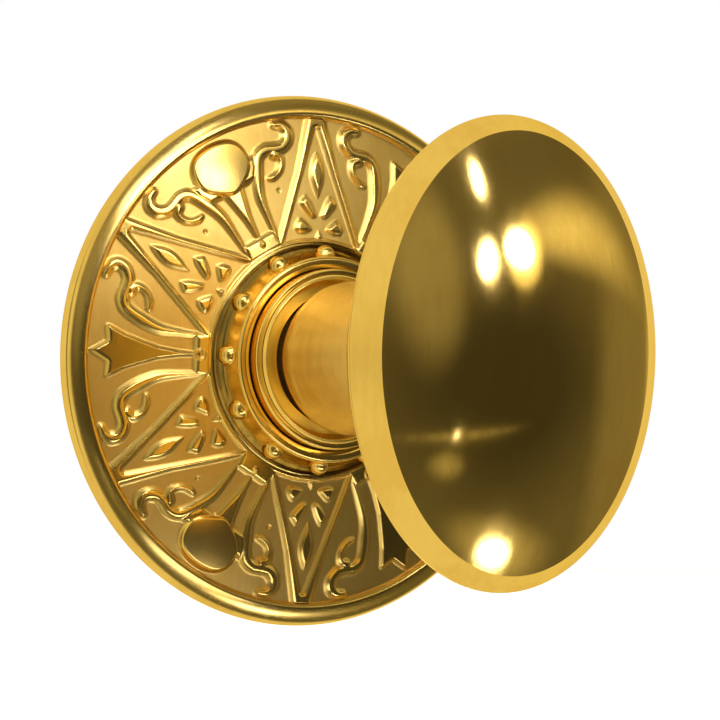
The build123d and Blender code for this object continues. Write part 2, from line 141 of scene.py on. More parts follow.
def grid_object(name, rows):
    """A closed mesh through rings of points.

    End rings of one repeated point become poles. Otherwise the last ring joins the first.
    """
    count, columns, _ = rows.shape
    index = np.arange(count * columns).reshape(count, columns)
    capped = np.ptp(rows[0], axis=0).max() < 1e-9
    if capped:
        index[0], index[-1] = index[0, 0], index[-1, 0]
        lower, upper = index[:-1], index[1:]
    else:
        lower, upper = index, np.roll(index, -1, axis=0)
    quads = np.stack([lower, np.roll(lower, -1, 1), np.roll(upper, -1, 1), upper], -1).reshape(-1, 4)
    used, quads = np.unique(quads, return_inverse=True)
    quads = quads.reshape(-1, 4)
    points = rows.reshape(-1, 3)[used]
    triangles = np.concatenate([quads[:, [0, 1, 2]], quads[:, [0, 2, 3]]])
    if signed_volume(points, triangles) < 0:
        quads = quads[:, ::-1]
    faces = [list(dict.fromkeys(q)) for q in quads.tolist()]
    mesh = bpy.data.meshes.new(name)
    mesh.from_pydata(points * MM, [], faces)
    mesh.shade_smooth()
    piece = bpy.data.objects.new(name, mesh)
    bpy.context.collection.objects.link(piece)
    return piece


def points_around(radius, height, around):
    """Points at a radius and a height, at angles about the knob's axis."""
    return np.stack([radius * np.cos(around), -height * np.ones_like(around), radius * np.sin(around)], -1)


def turned_rows(outline, columns):
    """Rings of points from a (radius, height) outline turned about the knob's axis."""
    around = np.linspace(0, 2 * pi, columns, endpoint=False)[None]
    return points_around(outline[:, 0:1], outline[:, 1:2], around)


def finish_piece(piece, material, body, slot, *nodes):
    """Dress a piece, put it on its body and let it stand for its CAD nodes."""
    piece.data.materials.append(material)
    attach(piece, body)
    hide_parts(*nodes)
    return piece


# ---------------------------------------------------------------- material nodes


class Nodes:
    """A material's or world's node tree, with short ways to add to it."""

    def __init__(self, tree):
        self.tree = tree
        tree.nodes.clear()

    def add(self, kind, inputs=None, **settings):
        node = self.tree.nodes.new(kind)
        for key, value in settings.items():
            setattr(node, key, value)
        for key, value in (inputs or {}).items():
            self.feed(value, node.inputs[key])
        return node

    def feed(self, value, socket):
        if isinstance(value, bpy.types.NodeSocket):
            self.tree.links.new(value, socket)
        else:
            socket.default_value = value

    def math(self, operation, *values, clamp=False):
        node = self.add("ShaderNodeMath", operation=operation, use_clamp=clamp)
        for value, socket in zip(values, node.inputs):
            self.feed(value, socket)
        return node.outputs[0]

    def vector(self, operation, *values):
        node = self.add("ShaderNodeVectorMath", operation=operation)
        for value, socket in zip(values, node.inputs):
            self.feed(value, socket)
        return node.outputs["Value" if operation in ("DOT_PRODUCT", "LENGTH") else "Vector"]

    def scale_range(self, value, low, high, to_low=0.0, to_high=1.0, smooth=True):
        inputs = {"Value": value, "From Min": low, "From Max": high, "To Min": to_low, "To Max": to_high}
        kind = "SMOOTHSTEP" if smooth else "LINEAR"
        return self.add("ShaderNodeMapRange", inputs, interpolation_type=kind).outputs["Result"]

    def noise(self, vector, scale, detail=3.0, roughness=0.5):
        inputs = {"Vector": vector, "Scale": scale, "Detail": detail, "Roughness": roughness}
        return self.add("ShaderNodeTexNoise", inputs).outputs["Fac"]

    def blend(self, share, first, second):
        node = self.add("ShaderNodeMix", {"Factor": share, "A": 0.0, "B": 0.0}, data_type="FLOAT")
        self.feed(first, node.inputs[2])
        self.feed(second, node.inputs[3])
        return node.outputs[0]

    def blend_colour(self, share, first, second):
        node = self.add("ShaderNodeMix", data_type="RGBA")
        self.feed(share, node.inputs[0])
        self.feed(first, node.inputs[6])
        self.feed(second, node.inputs[7])
        return node.outputs[2]


    def surface(self, inputs):
        shader = self.add("ShaderNodeBsdfPrincipled", inputs)
        self.add("ShaderNodeOutputMaterial", {"Surface": shader.outputs[0]})


def new_material(name):
    material = bpy.data.materials.new(name)
    material.use_nodes = True
    return material, Nodes(material.node_tree)


def turning_coordinates(n, position):
    """Coordinates along the axis and outward but not around, so that a pattern becomes lathe marks."""
    split = n.add("ShaderNodeSeparateXYZ", {"Vector": position})
    across, along, up = split.outputs
    radius = n.math("SQRT", n.math("ADD", n.math("MULTIPLY", across, across), n.math("MULTIPLY", up, up)))
    return n.add("ShaderNodeCombineXYZ", {"X": radius, "Y": along, "Z": 0.0}).outputs[0]


BRASS = (0.90, 0.62, 0.19, 1)
DEEP_BRASS = (0.78, 0.49, 0.12, 1)
# painted light: a paler copy of the brass that makes the neck look more brightly lit
PAINTED_LIGHT_BRASS = (0.96, 0.78, 0.35, 1)
# the colour that painted shade on the rosette blends towards
DARK_BRASS = (0.20, 0.14, 0.04, 1)
GRAZING_TINT = (1.0, 0.86, 0.5, 1)

# how many times each pattern repeats in a metre
CLOUDS = 60.0
SMEARS = (900.0, 900.0, 180.0)
SCRATCHES = (2600.0, 2600.0, 120.0)
LATHE_RINGS = 3200.0
CAST_GRAIN = 1500.0
DRAWN_LINES = (1500.0, 200.0, 1500.0)


def brass(name, gloss, wear, lathe_marks=0.0, grain=0.0, colour=BRASS):
    """Lacquered brass.

    gloss is its lowest roughness, and wear is how much that varies. A grain means cast brass, which is
    rough between the tops of its relief and has painted shade, a darker colour, where its attribute says so.
    """
    material, n = new_material(name)
    position = n.add("ShaderNodeTexCoord").outputs["Object"]
    clouds = n.noise(position, CLOUDS, 4.0, 0.6)
    smears = n.noise(n.vector("MULTIPLY", position, SMEARS), 1.0, 4.0, 0.65)
    scratches = n.noise(n.vector("MULTIPLY", position, SCRATCHES), 1.0, 2.0, 0.5)
    roughness = n.math("ADD", gloss, n.math("MULTIPLY", n.math("MULTIPLY", clouds, smears), wear))
    stains = n.math("MULTIPLY", clouds, n.math("ADD", 0.6, smears))
    tarnish = n.scale_range(stains, 0.4, 0.75, 0.0, 0.6)
    relief = n.math("MULTIPLY", scratches, 0.35)
    if lathe_marks:
        rings = n.noise(turning_coordinates(n, position), LATHE_RINGS, 2.0, 0.7)
        relief = n.math("ADD", relief, n.math("MULTIPLY", rings, lathe_marks))
    if grain:
        tops = n.add("ShaderNodeAttribute", attribute_name="relief_top").outputs["Fac"]
        # painted shade: the stars and the cove are painted darker where they mirror the dark room
        painted_shade = n.add("ShaderNodeAttribute", attribute_name="painted_shade").outputs["Fac"]
        low = n.math("SUBTRACT", 1.0, tops)
        cast = n.noise(position, CAST_GRAIN, 3.0, 0.55)
        colour = n.blend_colour(painted_shade, colour, DARK_BRASS)
        roughness = n.math("ADD", roughness, n.math("MULTIPLY", low, grain))
        tarnish = n.math("ADD", tarnish, n.math("MULTIPLY", low, 0.25), clamp=True)
        relief = n.math("ADD", relief, n.math("MULTIPLY", n.math("MULTIPLY", cast, low), 0.8))
    bump = n.add("ShaderNodeBump", {"Height": relief, "Strength": 0.25, "Distance": 0.00002})
    n.surface(
        {
            "Base Color": n.blend_colour(tarnish, colour, DEEP_BRASS),
            "Metallic": 1.0,
            "Roughness": roughness,
            "Specular Tint": GRAZING_TINT,
            "Coat Weight": 0.1,
            "Coat Roughness": 0.06,
            "Coat IOR": 1.5,
            "Normal": bump.outputs[0],
        }
    )
    return material


def steel(name, colour, roughness, mottle_scale):
    """Plated or spring steel, with a mottled plating and fine drawn lines."""
    material, n = new_material(name)
    position = n.add("ShaderNodeTexCoord").outputs["Object"]
    mottle = n.noise(position, mottle_scale, 5.0, 0.6)
    drawn = n.noise(n.vector("MULTIPLY", position, DRAWN_LINES), 1.0, 3.0, 0.6)
    darker = (colour[0] * 0.72, colour[1] * 0.74, colour[2] * 0.78, 1)
    bump = n.add("ShaderNodeBump", {"Height": drawn, "Strength": 0.2, "Distance": 0.00003})
    n.surface(
        {
            "Base Color": n.blend_colour(n.scale_range(mottle, 0.35, 0.7), colour, darker),
            "Metallic": 1.0,
            "Roughness": n.math("ADD", roughness, n.math("MULTIPLY", mottle, 0.15)),
            "Normal": bump.outputs[0],
        }
    )
    return material


def nylon(name, colour):
    """Moulded nylon with a faint flow pattern."""
    material, n = new_material(name)
    position = n.add("ShaderNodeTexCoord").outputs["Object"]
    flow = n.noise(position, 220.0, 3.0, 0.5)
    lighter = tuple(min(1.0, c * 1.25 + 0.01) for c in colour[:3]) + (1,)
    bump = n.add("ShaderNodeBump", {"Height": flow, "Strength": 0.15, "Distance": 0.00005})
    n.surface(
        {
            "Base Color": n.blend_colour(flow, colour, lighter),
            "Roughness": n.scale_range(flow, 0.2, 0.8, 0.38, 0.52),
            "Normal": bump.outputs[0],
        }
    )
    return material


# ---------------------------------------------------------------- the rosette's ornament

FIELD_INNER = 15.4
FIELD_INNER_HEIGHT = 3.85
FIELD_OUTER = 31.9
FIELD_OUTER_HEIGHT = 1.65
RELIEF = 0.42
EDGE = 0.95
LEAF_RELIEF = 0.36
LEAF_EDGE = 0.8
DISC_RELIEF = 0.62
DISC_EDGE = 0.7


def step_up(distance, height, edge=EDGE):
    """A sloping step: nothing outside an outline, easing to `height` from `edge` inside it."""
    share = np.clip(distance / edge, 0, 1)
    return height * share**2 * (3 - 2 * share)


def polygon_distance(x, y, outline):
    """Distance from points to a closed outline, positive inside it."""
    corners = np.array(outline, float)
    ends = np.roll(corners, -1, 0)
    nearest = np.full(x.shape, 1e9)
    inside = np.zeros(x.shape, bool)
    for (ax, ay), (bx, by) in zip(corners, ends):
        ex, ey = bx - ax, by - ay
        share = np.clip(((x - ax) * ex + (y - ay) * ey) / (ex * ex + ey * ey), 0, 1)
        nearest = np.minimum(nearest, np.hypot(x - ax - share * ex, y - ay - share * ey))
        if ay != by:
            crosses = ((ay > y) != (by > y)) & (x < ex * (y - ay) / ey + ax)
            inside ^= crosses
    return np.where(inside, nearest, -nearest)


def stroke_distance(x, y, line, half_widths):
    """Distance inside a stroke drawn along a line, positive inside it."""
    path = smooth_line(line, 12)
    marks = np.linspace(0, 1, len(half_widths))
    widths = np.interp(np.linspace(0, 1, len(path)), marks, half_widths)
    inside = np.full(x.shape, -1e9)
    for (px, py), width in zip(path, widths):
        inside = np.maximum(inside, width - np.hypot(x - px, y - py))
    return inside


def mirrored(points):
    """Points with y above 0, followed by the same points below it, so that the outline closes."""
    return points + [(x, -y) for x, y in reversed(points) if y > 0]


def ray_height(u, v):
    """A pointed ray: a band around a sunk panel with leaves in it."""
    outer = mirrored([(14.0, 6.95), (16.0, 6.2), (20.0, 4.95), (25.0, 3.35), (31.8, 1.75), (33.0, 1.5)])
    inner = mirrored([(13.5, 5.6), (30.4, 0.0)])
    outside = polygon_distance(u, v, outer)
    within = -polygon_distance(u, v, inner)
    band = RELIEF * np.minimum(step_up(outside, 1.0, 0.9), step_up(within, 1.0, 0.85))
    side = np.abs(v)
    lozenge = mirrored([(21.2, 0.0), (22.8, 0.85), (24.6, 1.25), (26.4, 0.85), (27.7, 0.0)])
    petal = [(18.6, 1.3), (18.9, 0.15), (20.7, 0.75), (21.9, 1.7), (21.5, 2.4), (20.4, 2.9)]
    low_petal = [
        (17.2, 0.85), (18.3, 1.8), (18.75, 2.7), (18.1, 3.5), (17.0, 3.75), (16.4, 3.1), (16.5, 1.8),
    ]
    drop = mirrored([(15.8, 0.75), (17.2, 0.0)])
    height = band
    for outline in (lozenge, petal, low_petal, drop):
        leaf = polygon_distance(u, side, smooth_line(outline, closed=True))
        height = np.maximum(height, step_up(leaf, LEAF_RELIEF, LEAF_EDGE))
    return height


SCROLL = [
    (17.0, 2.5), (19.5, 2.7), (22.5, 3.1), (25.0, 4.2), (27.0, 5.6), (27.4, 7.0), (26.9, 8.4),
    (26.7, 9.5), (27.2, 10.7), (28.2, 11.2), (29.2, 10.8), (29.7, 9.9),
]
SCROLL_HALF_WIDTHS = [0.6, 0.75, 1.0, 1.15, 1.1, 1.1, 1.1, 1.1, 1.15, 1.15, 1.0, 0.85]
CURL = [(26.4, 7.9), (25.6, 8.4), (24.6, 8.0), (24.0, 7.2), (23.8, 6.2), (23.9, 5.6)]


def scroll_distance(u, v):
    """Distance inside the leafy scroll that leans away from each star and disc."""
    main = stroke_distance(u, v, SCROLL, SCROLL_HALF_WIDTHS)
    curl = stroke_distance(u, v, CURL, [1.1, 0.85, 0.75, 0.7, 0.75, 0.6])
    return np.maximum(main, curl)


def fan_height(u, v):
    """A disc near the rim on a fan of ribs, with a small bead at its root."""
    side = np.abs(v)
    rib_outline = mirrored([(17.6, 0.6), (18.2, 0.6), (21.0, 1.0), (24.2, 1.75), (26.0, 3.6)])
    rib = polygon_distance(u, v, rib_outline)
    web = polygon_distance(u, v, mirrored([(24.3, 3.9), (26.0, 5.2), (27.9, 5.4)]))
    root = polygon_distance(u, v, mirrored([(15.0, 3.3), (17.6, 2.9), (18.2, 2.6)]))
    height = step_up(np.maximum.reduce([rib, web, root, scroll_distance(u, side)]), RELIEF)
    outline = mirrored(
        [
            (24.0, 0.0), (25.1, 2.6), (26.3, 4.0), (27.6, 4.45), (29.2, 4.35), (30.5, 3.6),
            (31.3, 2.2), (31.6, 0.0),
        ]
    )
    disc = polygon_distance(u, v, smooth_line(outline, 6, closed=True))
    dome = 0.16 * np.clip(1 - ((u - 27.8) ** 2 + v**2) / 4.4**2, 0, 1)
    height = np.maximum(height, step_up(disc, DISC_RELIEF, DISC_EDGE) + np.where(disc > 0, dome, 0))
    bead = 0.9 - np.hypot(u - 17.0, v)
    return np.maximum(height, step_up(bead, 0.8, 0.9))


STAR = mirrored(
    [
        (16.5, 0.5), (19.7, 0.65), (22.6, 1.1), (24.8, 1.8), (27.0, 2.55), (29.2, 3.65),
        (29.8, 3.4), (29.6, 1.5), (32.2, 0.0),
    ]
)


def star_height(u, v):
    """A pointed star on a stem that narrows towards the hub."""
    side = np.abs(v)
    root = polygon_distance(u, v, mirrored([(15.0, 3.3), (17.6, 2.9), (18.0, 2.6)]))
    height = step_up(np.maximum(root, scroll_distance(u, side)), RELIEF)
    height = np.maximum(height, step_up(polygon_distance(u, v, STAR), RELIEF, DISC_EDGE))
    loop = 0.32 - np.abs(np.hypot(u - 17.0, v) - 0.6)
    return np.maximum(height, step_up(loop, 0.7, 0.3))


def ornament_height(radius, angle):
    """Height of the relief over the sloping field, which repeats every 120 degrees with a mirror line."""
    turn = np.degrees(angle) % 120
    from_disc = np.radians(np.minimum(turn, 120 - turn))
    from_ray = from_disc - radians(30)
    from_star = radians(60) - from_disc
    height = ray_height(radius * np.cos(from_ray), radius * np.sin(from_ray))
    height = np.maximum(height, fan_height(radius * np.cos(from_disc), radius * np.sin(from_disc)))
    height = np.maximum(height, star_height(radius * np.cos(from_star), radius * np.sin(from_star)))
    collar = 0.5 - np.abs(radius - FIELD_INNER - 0.2)
    height = np.maximum(height, step_up(collar, RELIEF, 0.4))
    dimple = 0.4 - np.hypot(radius * np.cos(from_disc) - 21.9, radius * np.sin(from_disc) - 6.1)
    return height - step_up(dimple, 0.2, 0.4)


# ---------------------------------------------------------------- the rosette

BEAD_COUNT = 12
BEAD_RADIUS = 1.35
COVE_RADIUS = 14.6
COVE_HALF_WIDTH = 0.9
# painted shade on the cove and the stars, where they mirror the dark room: how it fades in, and how dark the
# stars and the beads are painted
COVE_SHADE_FADE = 0.5
STAR_SHADE = 0.5
STAR_SHADE_FADE = 0.6
BEAD_SHADE = 0.4
BEAD_CIRCLE = 13.7
BEAD_HEIGHT = 5.5
HUB_SHOULDER = 13.5
RIM_STEP = 2.1
RIM_CREST_RADIUS = 32.55
RIM_CREST = 2.5
ROSETTE_COLUMNS = 1440
FIELD_ROWS = 150
TOP_HEIGHT = 0.35


def rosette_outline():
    """The rosette's section as (radius, height) points, and which of them lie on the sloping field."""
    bore = BUSHING_OUTER - 0.8
    counterbore = RING_OUTER + 0.15
    back = soften(
        [
            (ROSETTE_RADIUS, 0.4, 0.0001),
            (ROSETTE_RADIUS, 0.0, 0.25),
            (PLATE_RADIUS + 0.2, 0.0, 0.1),
            (PLATE_RADIUS + 0.2, PLATE_TOP, 0.1),
            (bore, PLATE_TOP, 0.1),
            (bore, HUB_SEAT, 0.1),
            (counterbore, HUB_SEAT, 0.1),
            (counterbore, HUB_TOP - 0.2, 0.12),
            (counterbore + 0.6, HUB_TOP, 0.3),
        ],
        0.8,
    )
    back = back[: np.argmax(back[:, 1]) + 1]
    shoulder = arc_points((HUB_SHOULDER - 0.6, HUB_TOP - 0.6), (0.6, 0.6), 80, 22, 12)
    foot = arc_points((FIELD_INNER + 0.1, FIELD_INNER_HEIGHT + 1.0), (0.9, 1.0), 200, 268, 16)
    flank = smooth_line([shoulder[-1], (13.72, 6.3), (14.1, 5.2), foot[0]], 14)[1:-1]
    cove = np.concatenate([flank, foot])
    share = np.linspace(0, 1, FIELD_ROWS)[1:]
    field_radius = FIELD_INNER + share * (FIELD_OUTER - FIELD_INNER)
    field_height = FIELD_INNER_HEIGHT + share * (FIELD_OUTER_HEIGHT - FIELD_INNER_HEIGHT)
    field = np.stack([field_radius, field_height], 1)
    riser = np.array([(FIELD_OUTER + 0.05, FIELD_OUTER_HEIGHT + 0.15), (FIELD_OUTER + 0.12, RIM_STEP)])
    crest = [(FIELD_OUTER + 0.25, RIM_STEP + 0.2), (RIM_CREST_RADIUS, RIM_CREST), (33.3, 2.3), (34.2, 1.85)]
    edge = [(34.75, 1.35), (34.95, 0.8), (ROSETTE_RADIUS, 0.4)]
    rim = smooth_line(crest + edge, 7)
    parts = [back, shoulder, cove, field, riser, rim]
    on_field = np.concatenate([np.full(len(p), p is field) for p in parts])
    on_hub = np.concatenate([np.full(len(p), p is shoulder or p is cove) for p in parts])
    return np.concatenate(parts), on_field, on_hub


def push_out_beads(rows, outline, on_hub):
    """Swell the hub's cove outward onto small spheres, and say how far each point moved."""
    slope = np.gradient(outline, axis=0)
    normal = np.stack([-slope[:, 1], slope[:, 0]], 1)
    normal /= np.linalg.norm(normal, axis=1, keepdims=True)
    if normal[on_hub][len(normal[on_hub]) // 2][0] < 0:
        normal = -normal
    around = np.arctan2(rows[..., 2], rows[..., 0])
    nearest = np.round(around * BEAD_COUNT / (2 * pi)) * 2 * pi / BEAD_COUNT
    centre = points_around(BEAD_CIRCLE, BEAD_HEIGHT, nearest)
    out = points_around(normal[:, 0:1], normal[:, 1:2], around)
    offset = rows - centre
    along = (offset * out).sum(-1)
    inside = along**2 - (offset**2).sum(-1) + BEAD_RADIUS**2
    lift = np.where(inside > 0, np.sqrt(np.maximum(inside, 0)) - along, 0)
    lift = np.where(on_hub[:, None], np.maximum(lift, 0), 0)
    return rows + out * lift[..., None], lift


def painted_shade_share(radius, angle):
    """How much shade is painted on each point: the stars, and the cove around the hub, which mirror the dark
    room.
    """
    turn = np.degrees(angle) % 120
    from_star = radians(60) - np.radians(np.minimum(turn, 120 - turn))
    star = polygon_distance(radius * np.cos(from_star), radius * np.sin(from_star), STAR)
    cove = COVE_HALF_WIDTH - np.abs(radius - COVE_RADIUS)
    on_star = np.clip(star / STAR_SHADE_FADE, 0, 1)
    return np.maximum(STAR_SHADE * on_star, np.clip(cove / COVE_SHADE_FADE, 0, 1))


def add_attribute(piece, name, values):
    attribute = piece.data.attributes.new(name, "FLOAT", "POINT")
    attribute.data.foreach_set("value", values.ravel().astype(np.float32))


def make_rosette():
    outline, on_field, on_hub = rosette_outline()
    rows = turned_rows(outline, ROSETTE_COLUMNS)
    around = np.arctan2(rows[0, :, 2], rows[0, :, 0])
    radius = np.repeat(outline[on_field, 0:1], len(around), axis=1)
    fold = ornament_height(radius, np.repeat(around[None], len(radius), axis=0))
    rows[on_field, :, 1] -= fold
    rows, lift = push_out_beads(rows, outline, on_hub)
    piece = grid_object("cast_rosette", rows)
    tops = np.ones(rows.shape[:2])
    tops[on_field] = np.clip(fold / TOP_HEIGHT, 0, 1)
    add_attribute(piece, "relief_top", tops)
    shown = on_field | on_hub
    # painted shade on the stars and the cove, fainter on the beads
    painted_shade = np.zeros(rows.shape[:2])
    painted_shade[shown] = painted_shade_share(*np.broadcast_arrays(outline[shown, 0:1], around[None]))
    painted_shade[lift > 0] *= BEAD_SHADE
    add_attribute(piece, "painted_shade", painted_shade)
    return piece


# ---------------------------------------------------------------- the turned fittings


def make_hub_ring():
    inner = BUSHING_OUTER + 0.05
    corners = [
        (inner, HUB_SEAT, 0.05),
        (RING_OUTER, HUB_SEAT, 0.05),
        (RING_OUTER, RING_TOP - 0.35, 0.3),
        (RING_OUTER - 0.25, RING_TOP, 0.12),
        (inner, RING_TOP, 0.08),
    ]
    return grid_object("turned_hub_ring", turned_rows(soften(corners), 360))


def make_bushing():
    flange = BUSHING_OUTER
    lip = flange - 0.4
    mouth = LINER_OUTER - 0.65
    corners = [
        (LINER_OUTER, PLATE_TOP, 0.05),
        (flange - 0.8, PLATE_TOP, 0.05),
        (flange - 0.8, HUB_SEAT, 0.05),
        (flange, HUB_SEAT, 0.05),
        (flange, RING_TOP, 0.1),
        (lip, BUSHING_TOP, 0.12),
        (mouth, BUSHING_TOP - 0.9, 0.1),
        (mouth, LINER_TOP, 0.05),
        (LINER_OUTER, LINER_TOP, 0.05),
    ]
    return grid_object("turned_bushing", turned_rows(soften(corners), 360))


# ---------------------------------------------------------------- the knob

SEAM_HALF_WIDTH = FACE_HALF_WIDTH
LIP_DEPTH = 1.6
SEAM_HEIGHT = FACE_LIP + LIP_DEPTH
GIRTH_HEIGHT = 51.1
GIRTH_ROLL = 0.3
SEAM_OVERLAP = 0.01
APEX_SPREAD = 8.6
SHELL = 1.2
TONGUE_INSET = 1.6
NECK_END_RADIUS = 10.0
THROAT_RADIUS = 6.55
BOWL = [(13.5, 40.3), (16.9, 43.9), (19.6, 47.4)]
INNER_BOWL = [(17.2, 46.4), (13.6, 42.6)]
KNOB_COLUMNS = 480


def oval_rows(outline, half_heights):
    """Upright ovals, each as tall as its half height says."""
    rows = turned_rows(outline, KNOB_COLUMNS)
    wide = outline[:, 0] > 1e-6
    rows[wide, :, 2] *= (half_heights[wide] / outline[wide, 0])[:, None]
    return rows


def dome(half_width, apex, lowest, count):
    """The face's section from its apex down to its edge, as a quadratic curve that starts level."""
    t = np.linspace(0, 1, count)
    return np.stack([2 * t * (1 - t) * APEX_SPREAD + t**2 * half_width, apex - (apex - lowest) * t**2], 1)


def make_knob_front():
    outer = dome(SEAM_HALF_WIDTH, KNOB_APEX, SEAM_HEIGHT, 90)
    outer = np.insert(outer, -1, 0.03 * outer[-2] + 0.97 * outer[-1], axis=0)
    lip = np.array([(SEAM_HALF_WIDTH - 0.1, SEAM_HEIGHT - 0.1), (SEAM_HALF_WIDTH - 0.4, SEAM_HEIGHT - 0.12)])
    tongue_half_width = FACE_HALF_WIDTH - TONGUE_INSET
    tongue = np.array([(tongue_half_width, SEAM_HEIGHT - 0.15), (tongue_half_width, FACE_LIP)])
    inner = dome(tongue_half_width - SHELL, KNOB_APEX - SHELL, SEAM_HEIGHT - 0.6, 40)[::-1]
    outline = np.concatenate([outer, lip, tongue, [(tongue_half_width - SHELL, FACE_LIP)], inner])
    half_heights = outline[:, 0] * FACE_HALF_HEIGHT / FACE_HALF_WIDTH
    return grid_object("knob_face_shell", oval_rows(outline, half_heights))


def make_knob_back():
    roll_centre = KNOB_HALF_WIDTH - GIRTH_ROLL
    roll = arc_points((roll_centre, GIRTH_HEIGHT), (GIRTH_ROLL, GIRTH_ROLL), -32, 50, 20)
    bowl = smooth_line([(NECK_END_RADIUS, KNOB_BACK), *BOWL, tuple(roll[0])], 12)[:-1]
    edge = SEAM_HALF_WIDTH - SEAM_OVERLAP
    slope = np.linspace(roll[-1], (edge, SEAM_HEIGHT), 24)[1:]
    slope = np.insert(slope, -1, 0.05 * slope[-2] + 0.95 * slope[-1], axis=0)
    groove = np.array([(edge, SEAM_HEIGHT - 0.25), (edge - 1.0, SEAM_HEIGHT - LIP_DEPTH)])
    inner_girth = (roll_centre - SHELL, GIRTH_HEIGHT)
    floor_height = KNOB_BACK + 4.4
    inner = smooth_line([inner_girth, *INNER_BOWL, (NECK_END_RADIUS - 0.4, floor_height)], 10)
    throat = np.array([(THROAT_RADIUS + 0.05, floor_height + 0.1), (THROAT_RADIUS, KNOB_BACK)])
    outline = np.concatenate([bowl, roll, slope, groove, inner, throat])
    to_girth = np.clip((outline[:, 0] - NECK_END_RADIUS) / (KNOB_HALF_WIDTH - NECK_END_RADIUS), 0, 1)
    half_heights = outline[:, 0] + (KNOB_HALF_HEIGHT - KNOB_HALF_WIDTH) * to_girth**1.2
    # from the girth to the seam the ovals change evenly to the face's own
    front = slice(len(bowl), len(bowl) + len(roll) + len(slope) + len(groove))
    to_seam = (outline[front, 0] - edge) / (KNOB_HALF_WIDTH - edge)
    seam_half_height = edge * FACE_HALF_HEIGHT / FACE_HALF_WIDTH
    half_heights[front] = seam_half_height + (KNOB_HALF_HEIGHT - seam_half_height) * to_seam
    return grid_object("knob_back_shell", oval_rows(outline, half_heights))


# ---------------------------------------------------------------- put the pieces together

polished_brass = brass("polished_brass", 0.05, 0.2)
turned_brass = brass("turned_brass", 0.12, 0.2, lathe_marks=1.0)
# painted light: the neck's brass is paler so that it looks more brightly lit
neck_brass = brass("neck_brass", 0.26, 0.12, lathe_marks=0.6, colour=PAINTED_LIGHT_BRASS)
cast_brass = brass("cast_brass", 0.17, 0.16, grain=0.2)
plain_brass = brass("plain_brass", 0.22, 0.3, lathe_marks=1.0)
zinc_plate = steel("zinc_plated_steel", (0.50, 0.55, 0.92, 1), 0.26, 260.0)
spring_wire = steel("spring_steel", (0.25, 0.28, 0.45, 1), 0.30, 420.0)
black_nylon = nylon("black_nylon", (0.02, 0.02, 0.022, 1))
white_nylon = nylon("white_nylon", (0.72, 0.71, 0.66, 1))

finish_piece(make_rosette(), cast_brass, "rosette", "cast_brass", "rosette_plate")
finish_piece(make_hub_ring(), turned_brass, "rosette", "turned_brass", "hub_ring")
finish_piece(make_bushing(), turned_brass, "rosette", "turned_brass", "shank_bushing")
finish_piece(make_knob_front(), polished_brass, "knob", "polished_brass", "knob_front")
finish_piece(make_knob_back(), polished_brass, "knob", "polished_brass", "knob_back")

carried_over = {
    "knob_shank": neck_brass,
    "bearing_liner": black_nylon,
    "thrust_washer": white_nylon,
    "left_post": plain_brass,
    "right_post": plain_brass,
    "shank_nut": plain_brass,
    "return_spring": spring_wire,
    "spring_washer": spring_wire,
    "lock_washer": spring_wire,
    "set_screw": spring_wire,
    "retaining_ring": spring_wire,
    "mounting_plate": zinc_plate,
    "rosette_screws": zinc_plate,
    "spring_housing": zinc_plate,
    "housing_rivets": zinc_plate,
    "anchor_pin": zinc_plate,
    "stop_pins": zinc_plate,
    "drive_pin": zinc_plate,
    "spindle": zinc_plate,
    "drive_cam": zinc_plate,
}
for node, material in carried_over.items():
    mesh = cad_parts[node].data
    mesh.materials.clear()
    mesh.materials.append(material)

# ---------------------------------------------------------------- camera

VIEW_AZIMUTH = -29.34
VIEW_ELEVATION = -2.07
VIEW_ROLL = radians(1.70)
VIEW_DISTANCE = 0.450
VIEW_LENS = 170.1
VIEW_OFFSET = (0.00773, 0.00008)


def direction(azimuth, elevation):
    """Unit vector at an azimuth, counted from straight out of the door towards +X, and an elevation."""
    a, e = radians(azimuth), radians(elevation)
    return Vector((sin(a) * cos(e), -cos(a) * cos(e), sin(e)))


def make_camera():
    camera = bpy.data.objects.new("camera", bpy.data.cameras.new("camera"))
    bpy.context.collection.objects.link(camera)
    level = Vector((cos(radians(VIEW_AZIMUTH)), sin(radians(VIEW_AZIMUTH)), 0))
    back = direction(VIEW_AZIMUTH, VIEW_ELEVATION)
    upright = back.cross(level)
    right = level * cos(VIEW_ROLL) + upright * sin(VIEW_ROLL)
    up = upright * cos(VIEW_ROLL) - level * sin(VIEW_ROLL)
    place = back * VIEW_DISTANCE + right * VIEW_OFFSET[0] + up * VIEW_OFFSET[1]
    camera.matrix_world = Matrix.Translation(place) @ Matrix((right, up, back)).transposed().to_4x4()
    camera.data.lens = VIEW_LENS
    camera.data.sensor_width = 36.0
    camera.data.clip_start = 0.05
    bpy.context.scene.camera = camera


make_camera()

# ---------------------------------------------------------------- studio


def softbox(n, ray, azimuth, elevation, width, height, tilt, edge):
    """How much of a soft-edged oval panel a ray meets. Its size, tilt and edge are in degrees."""
    facing = direction(azimuth, elevation)
    across = Vector((cos(radians(azimuth)), sin(radians(azimuth)), 0))
    upward = facing.cross(across)
    t = radians(tilt)
    across, upward = across * cos(t) + upward * sin(t), upward * cos(t) - across * sin(t)
    ahead = n.vector("DOT_PRODUCT", ray, tuple(facing))
    places = []
    for side, size in ((across, width), (upward, height)):
        angle = n.math("ARCTAN2", n.vector("DOT_PRODUCT", ray, tuple(side)), ahead)
        places.append(n.math("DIVIDE", angle, radians(size / 2)))
    squares = [n.math("MULTIPLY", place, place) for place in places]
    reach = n.math("SQRT", n.math("ADD", *squares))
    soft = edge / min(width, height)
    return n.scale_range(reach, 1.0 + soft, 1.0 - soft)


# The room ahead of the knob is dark out to an angle from this direction, and bright beyond it.
DARK_CENTRE = (29.3, 1.0)
DARK_REACH = 75.0
DARK_EDGE = 1.5
DARK_LEVEL = 0.14
BRIGHT_LEVEL = 0.9
WARM = (1.0, 0.91, 0.50, 1)
WHITE = (1.0, 1.0, 1.0, 1)

